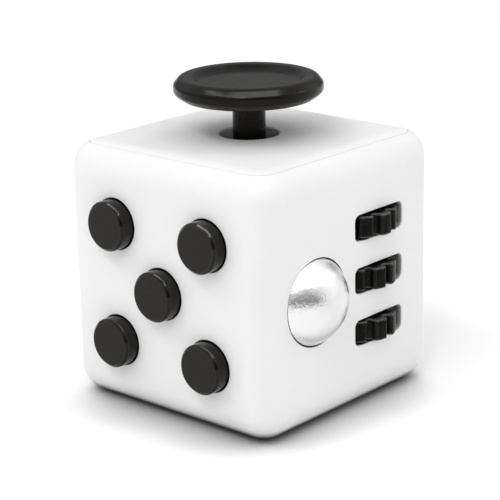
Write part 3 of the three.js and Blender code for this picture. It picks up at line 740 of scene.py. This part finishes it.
# ---- buttons, wheels and ball --------------------------------------------------------------------
def press_button(place):
    """A key: a slightly drafted round button with a chamfered front, on a flange that keeps it in."""
    low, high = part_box("button_" + place)
    spot = centre("button_" + place)
    front, back, flange = -low.y, -high.y, (high.x - low.x) / 2
    return finish_surface(lathe("button", [
        (0, front, 0), (BUTTON_R - 0.38 * MM, front, 0.1 * MM),
        (BUTTON_R - 0.03 * MM, front - 0.34 * MM, 0.12 * MM), (BUTTON_R, INSIDE - GAP, 0.05 * MM),
        (flange, INSIDE - GAP, 0.15 * MM), (flange, back, 0.15 * MM), (0, back, 0)],
        "-y", (spot.x, 0, spot.z)))


TEETH = 10
TOOTH_HALF = 0.9 * MM                        # half width of a tooth at its tip
TOOTH_FOOT = TOOTH_HALF * 1.06               # and at its foot
TIP_R, ROOT_R = 4.85 * MM, 3.85 * MM


def tooth_phase(node):
    """The angle of a wheel's first tooth at rest, from the corners of its tooth tips."""
    middle, tip = centre(node), span(node).x / 2
    total = 0
    for vertex in NODES[node].data.vertices:
        flat = complex(vertex.co.x - middle.x, vertex.co.y - middle.y)
        if abs(flat) > 0.97 * tip:
            total += (flat / abs(flat)) ** TEETH
    return math.atan2(total.imag, total.real) / TEETH


def toothed_wheel(level):
    """A wheel with square, round-cornered teeth and a bored hub."""
    node = "gear_" + level
    middle, phase, half = centre(node), tooth_phase(node), span(node).z / 2
    foot_r = math.sqrt(ROOT_R ** 2 - TOOTH_FOOT ** 2)
    tooth_corners = (
        (foot_r, -TOOTH_FOOT, 0.3 * MM), (TIP_R * 0.985, -TOOTH_HALF, 0.32 * MM), (TIP_R, 0, 2.4 * MM),
        (TIP_R * 0.985, TOOTH_HALF, 0.32 * MM), (foot_r, TOOTH_FOOT, 0.3 * MM))
    corners = []
    for tooth in range(TEETH):
        turn = Matrix.Rotation(phase + tooth * FULL_TURN / TEETH, 2)
        corners += [(*(turn @ Vector((x, y))), radius) for x, y, radius in tooth_corners]
    outline = rounded_line(corners, closed=True, steps=4)
    wheel = soften_rims(loft("wheel", [(outline, -half), (outline, half)], middle), 0.16 * MM)
    combine(wheel, [rod("z", 1.1 * MM, -2 * half, 2 * half, middle, 48)], "DIFFERENCE")
    return finish_surface(wheel)


def steel_ball():
    radius, steps = span("ball").x / 2, 72
    angles = (HALF_TURN * k / steps for k in range(1, steps))
    arc = [(radius * math.sin(a), -radius * math.cos(a), 0) for a in angles]
    return finish_surface(lathe("ball", [(0, -radius, 0), *arc, (0, radius, 0)], "x", centre("ball"), 128))


# ---- thumb stick ---------------------------------------------------------------------------------
def stick_cap():
    """The thumb cap: a rolled rim round a shallow dish with a flat floor, hollow below for the stem."""
    low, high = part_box("joystick_cap")
    foot, top, rim, crest = low.z, high.z, 9.3 * MM, high.z + 0.02 * MM
    socket_r, socket_top = 1.5 * MM, foot + 1.9 * MM
    return finish_surface(lathe("cap", [
        (0, top - 0.62 * MM, 0), (6.3 * MM, top - 0.6 * MM, 0.12 * MM), (7.1 * MM, crest, 0.9 * MM),
        (8.5 * MM, crest, 0.9 * MM), (rim, top - 0.95 * MM, 0.8 * MM), (rim, foot + 1.0 * MM, 0.7 * MM),
        (8.1 * MM, foot + 0.12 * MM, 0.8 * MM), (2.75 * MM, foot - 0.02 * MM, 0.2 * MM), (2.6 * MM, foot, 0),
        (socket_r, foot, 0), (socket_r, socket_top, 0), (0, socket_top, 0)], "z", (0, 0, 0), 160, 8), 50)


def stick_stem():
    """The stem: a spigot in the cap, a post, a neck and the ball that it tilts on, with its cross bore."""
    low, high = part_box("joystick_stem")
    pivot = centre("joystick_cross_pin").z
    ball_r, tail_r, neck_r, post_r, spigot_r = 2.9 * MM, 0.5 * MM, 1.4 * MM, 2.05 * MM, 1.2 * MM
    start, end = math.asin(tail_r / ball_r) - QUARTER_TURN, QUARTER_TURN - math.asin(neck_r / ball_r)
    steps = 20
    angles = (start + (end - start) * k / steps for k in range(steps + 1))
    ball = [(ball_r * math.cos(a), pivot + ball_r * math.sin(a), 0) for a in angles]
    shoulder = pivot + 9.6 * MM
    stem = lathe("stem", [
        (0, low.z, 0), (tail_r, low.z, 0.2 * MM), *ball, (neck_r, pivot + 2.7 * MM, 0.1 * MM),
        (post_r, pivot + 3 * MM, 0.15 * MM), (post_r, shoulder, 0.1 * MM), (spigot_r, shoulder, 0.1 * MM),
        (spigot_r, high.z, 0.2 * MM), (0, high.z, 0)], "z", (0, 0, 0))
    combine(stem, [rod("x", 0.58 * MM, -4 * MM, 4 * MM, (0, 0, pivot))], "DIFFERENCE")
    return finish_surface(stem)


# ---- flip switch and spin dial -------------------------------------------------------------------
def flip_rocker():
    """The rocker at rest, one end up: two flat faces that meet in a soft valley, over a curved skirt."""
    pivot = centre("switch_pin")
    tilt = math.radians(14)
    valley, reach, skirt_r = 3.4 * MM, 5.2 * MM, 6.87 * MM
    end = Vector((valley + reach * math.sin(tilt), reach * math.cos(tilt)))
    first, last, steps = math.atan2(end.y, end.x), math.radians(96), 10
    angles = (first + (last - first) * k / steps for k in range(1, steps + 1))
    skirt = [(-skirt_r * math.cos(a), skirt_r * math.sin(a), 0) for a in angles]
    back = [(0.6, 5.8, 0.2), (-1.6, 5, 0.5), (0.2, 1.6, 0.4), (1.6, 0.6, 0.3), (2.2, 0.25, 0.2)]   # in mm
    upper = [(-end.x, end.y, 0.45 * MM), *skirt, *(tuple(v * MM for v in corner) for corner in back)]
    lower = [(x, -z, radius) for x, z, radius in reversed(upper)]
    outline = rounded_line([(-valley, 0, 5 * MM), *upper, *lower], closed=True, steps=6)
    half = span("switch_rocker").y / 2
    rocker = soften_rims(loft("rocker", [(outline, -half), (outline, half)]), 0.14 * MM)
    turned_up = Matrix.Rotation(-tilt, 4, "Y") @ Matrix.Rotation(QUARTER_TURN, 4, "X")
    rocker.data.transform(Matrix.Translation(pivot) @ turned_up)
    combine(rocker, [rod("y", 0.83 * MM, -5 * MM, 5 * MM, (pivot.x, 0, pivot.z))], "DIFFERENCE")
    return finish_surface(rocker)


def spin_dial():
    """The dial: a flat knob with a finger hollow near its rim, on a shaft bored for its screw."""
    low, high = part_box("dial")
    middle = centre("dial")
    radius, front = (high.x - low.x) / 2, high.y
    floor = FACE - DIAL_POCKET + GAP
    dial = lathe("dial", [
        (0, low.y, 0), (DIAL_SHAFT_R, low.y, 0.1 * MM), (DIAL_SHAFT_R, floor, 0.1 * MM),
        (radius, floor, 0.2 * MM), (radius, front, 0.5 * MM), (0, front, 0)],
        "y", (middle.x, 0, middle.z), 128)
    hollow_r, depth, out = 4 * MM, 1.1 * MM, 4.3 * MM
    lip, steps = math.sqrt(hollow_r ** 2 - (hollow_r - depth) ** 2), 12
    bottom, brim = front - depth + hollow_r, lip + 0.3 * MM
    bowl = [(r, bottom - math.sqrt(hollow_r ** 2 - r ** 2), 0) for r in (lip * k / steps for k in range(steps))]
    hollow = lathe("hollow", [
        *bowl, (lip, front + HAIR, 0.35 * MM), (brim, front + HAIR * 4, 0), (brim, front + BEYOND, 0),
        (0, front + BEYOND, 0)], "y", (middle.x, 0, middle.z + out), 64)
    bore = rod("y", BOSS_BORE, low.y - BEYOND, low.y + 3.2 * MM, (middle.x, 0, middle.z))
    combine(dial, [hollow, bore], "DIFFERENCE")
    return finish_surface(dial)


# ---- screws, domes, springs and pins --------------------------------------------------------------
WIRE_SIDES = 12


def cross_screw(node, shank=0.6 * MM, thick=0.8 * MM):
    """A pan head with a cross recess, on a shank with cutting threads and a blunt point."""
    k, side = fastener_axis(node)
    axis = ("" if side > 0 else "-") + "xyz"[k]
    length, head = span(node)[k], min(span(node)) / 2
    place = centre(node)
    place[k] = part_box(node)[side < 0][k]
    corners = [(0, 0, 0), (0.62 * head, 0.02 * MM, 0.3 * MM), (head, 0.26 * MM, 0.2 * MM),
               (head, thick, 0.06 * MM), (shank, thick, 0.08 * MM)]
    height = thick + 0.45 * MM
    thread, thread_pitch = 0.1 * MM, 0.42 * MM
    while height < length - 0.9 * MM:
        corners += [(shank, height, 0), (shank + thread, height + 0.17 * MM, 0), (shank, height + 0.3 * MM, 0)]
        height += thread_pitch
    corners += [(shank, length - 0.5 * MM, 0.1 * MM), (0.3 * MM, length, 0.08 * MM), (0, length, 0)]
    screw = lathe("screw", corners, axis, place, 32, 3)
    arms = []
    for half_x, half_y in ((0.62, 0.14), (0.14, 0.62)):       # of the recess, as shares of the head
        sections = ((half_x, half_y, -0.3), (half_x, half_y, 0.15), (half_x * 0.6, half_y * 0.7, 0.5))
        arms.append(loft("arm", [(rounded_rectangle(x * head * 1.1, y * head * 1.1, 0.1 * MM, 3), h * MM)
                                 for x, y, h in sections], place, axis))
    return finish_surface(combine(screw, arms, "DIFFERENCE"), 30)


def snap_dome(node, axis, thick):
    """A pressed dome with a flat rim and a dimpled crown, and the point that its rim stands on."""
    k = axis_index(axis)
    radius, height = max(span(node)) / 2, span(node)[k]
    foot = centre(node)
    foot[k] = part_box(node)[axis.startswith("-")][k]
    dimple = 0.08 * MM
    under, under_dimple, crown = height - thick, height - thick - dimple, height - dimple
    dome = lathe("dome", [
        (0, under_dimple, 0), (0.2 * radius, under_dimple, 0.2 * MM), (0.34 * radius, under, 0.2 * MM),
        (0.5 * radius, under, 0.8 * MM), (0.86 * radius, 0, 0.25 * MM), (radius, 0, 0), (radius, thick, 0),
        (0.88 * radius, thick, 0.25 * MM), (0.52 * radius, height, 0.8 * MM), (0.34 * radius, height, 0.2 * MM),
        (0.2 * radius, crown, 0.2 * MM), (0, crown, 0)], axis, foot, 64, 6)
    return finish_surface(dome, 30), foot


def wound_spring(node, axis, wire, turns, steps=20):
    """A compression spring of round wire, its end coils laid close."""
    k = axis_index(axis)
    radius = (span(node).x if axis == "z" else sorted(span(node))[1]) / 2 - wire
    start = centre(node)
    start[k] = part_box(node)[0][k]
    closed = 0.75                                # turns laid close at each end
    pitch = (span(node)[k] - 2 * wire * 2) / (turns - 2 * closed)
    points = []
    for step in range(turns * steps + 1):
        turn = step / steps
        open_turns = min(max(turn - closed, 0), turns - 2 * closed)
        closed_turns = min(turn, closed) + max(turn - (turns - closed), 0)
        height = wire + open_turns * pitch + closed_turns * wire * 2 / (2 * closed)
        angle = FULL_TURN * turn
        points.append(Vector((radius * math.cos(angle), radius * math.sin(angle), height)))

    def fill(work):
        rings = []
        for i, point in enumerate(points):
            ahead = (points[min(i + 1, len(points) - 1)] - points[max(i - 1, 0)]).normalized()
            side = ahead.cross(Vector((point.x, point.y, 0)).normalized()).normalized()
            outward = side.cross(ahead)
            rings.append([work.verts.new(point + wire * (math.cos(a) * outward + math.sin(a) * side))
                          for a in (FULL_TURN * n / WIRE_SIDES for n in range(WIRE_SIDES))])
        for low, high in zip(rings, rings[1:]):
            for n in range(WIRE_SIDES):
                after = (n + 1) % WIRE_SIDES
                work.faces.new((low[n], low[after], high[after], high[n]))
        work.faces.new(rings[0])
        work.faces.new(rings[-1])

    spring = to_object("spring", fill)
    spring.data.transform(Matrix.Translation(start) @ TURNS[axis])
    return finish_surface(spring)


def turned_pin(node, axis, chamfer=0.15 * MM):
    """A ground pin with rounded ends."""
    half, radius = span(node)[axis_index(axis)] / 2, min(span(node)) / 2
    return finish_surface(lathe("pin", [(0, -half, 0), (radius, -half, chamfer), (radius, half, chamfer),
                                        (0, half, 0)], axis, centre(node), 48))


def switch_plunger():
    """The round-nosed plunger behind the rocker."""
    size, place = span("switch_plunger"), centre("switch_plunger")
    place.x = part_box("switch_plunger")[0].x
    return finish_surface(lathe("plunger", [
        (0, 0, 0), (0.62 * MM, 0.08 * MM, 0.3 * MM), (size.z / 2, 0.7 * MM, 0.2 * MM),
        (size.z / 2, size.x, 0.08 * MM), (0, size.x, 0)], "x", place, 48))


# ---- the assembly --------------------------------------------------------------------------------
install(casing_sleeve(), "casing_sleeve", "root", "shell_white", WHITE, "body_shell")
install(casing_top(), "casing_top", "root", "shell_white", WHITE, "top_cover")
install(casing_base(), "casing_base", "root", "shell_white", WHITE, "bottom_cover")
for place in PLACES:
    node = "button_" + place
    install(press_button(place), "press_" + node, node, "button_black", BLACK, node)
for level in LEVELS:
    node = "gear_" + level
    install(toothed_wheel(level), "toothed_wheel_" + level, node, "gear_black", GEAR_BLACK, node)
install(steel_ball(), "steel_ball", "ball", "ball_steel", BALL_STEEL, "ball")
install(stick_cap(), "stick_cap", "joystick", "cap_soft_black", CAP_BLACK, "joystick_cap")
install(stick_stem(), "stick_stem", "joystick", "stem_black", STEM_BLACK, "joystick_stem")
install(flip_rocker(), "flip_rocker", "switch_rocker", "button_black", BLACK, "switch_rocker")
install(spin_dial(), "spin_dial", "dial", "button_black", BLACK, "dial")

SLOT_MATERIALS = {
    "inner_black": INNER, "clear_silicone": SILICONE, "spring_steel": SPRING, "fastener_steel": ZINC,
}
SLOT_OF = {row["node"]: row["material_slot"] for row in frame["record"]["subparts"]}
BODY_OF = {node: body for body, nodes in frame["record"]["behaviour"]["bodies"].items() for node in nodes}
METAL_DOME, SILICONE_DOME, BALL_DOME = 0.16 * MM, 0.34 * MM, 0.18 * MM   # thickness


def stand_in(made, node, name):
    """Installs a small piece for one CAD node, on that node's body and with the material of its slot."""
    return install(made, name, BODY_OF[node], SLOT_OF[node], SLOT_MATERIALS[SLOT_OF[node]], node)


for node in sorted(NODES):
    if "_screw" in node:
        stand_in(cross_screw(node), node, "cross_" + node)
for place in PLACES:
    clicks = "click_dome_" + place in NODES
    node = ("click_dome_" if clicks else "silent_dome_") + place
    dome, foot = snap_dome(node, "-y", METAL_DOME if clicks else SILICONE_DOME)
    stand_in(dome, node, "pressed_" + node)
    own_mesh(dome)
dome, foot = snap_dome("ball_click_dome", "x", BALL_DOME)
stand_in(dome, "ball_click_dome", "pressed_ball_dome")
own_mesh(dome)
spring = wound_spring("joystick_return_spring", "z", 0.22 * MM, 5)
stand_in(spring, "joystick_return_spring", "wound_return_spring")
spring = wound_spring("switch_plunger_spring", "x", 0.18 * MM, 6)
stand_in(spring, "switch_plunger_spring", "wound_plunger_spring")
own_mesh(spring)
for node, axis in (("gear_axle", "z"), ("switch_pin", "y"), ("joystick_cross_pin", "x")):
    stand_in(turned_pin(node, axis), node, "ground_" + node)
stand_in(switch_plunger(), "switch_plunger", "turned_plunger")

for node, piece in NODES.items():            # the CAD pieces that stay: a finish and softened edges
    if not piece.hide_render:
        piece.data.materials.clear()
        piece.data.materials.append(SLOT_MATERIALS[SLOT_OF[node]])
        weld = piece.modifiers.new("weld", "WELD")
        weld.merge_threshold = 0.002 * MM
        soften = piece.modifiers.new("soften", "BEVEL")
        soften.width = 0.07 * MM
        soften.segments = 2
        soften.limit_method = "ANGLE"
        soften.angle_limit = math.radians(35)
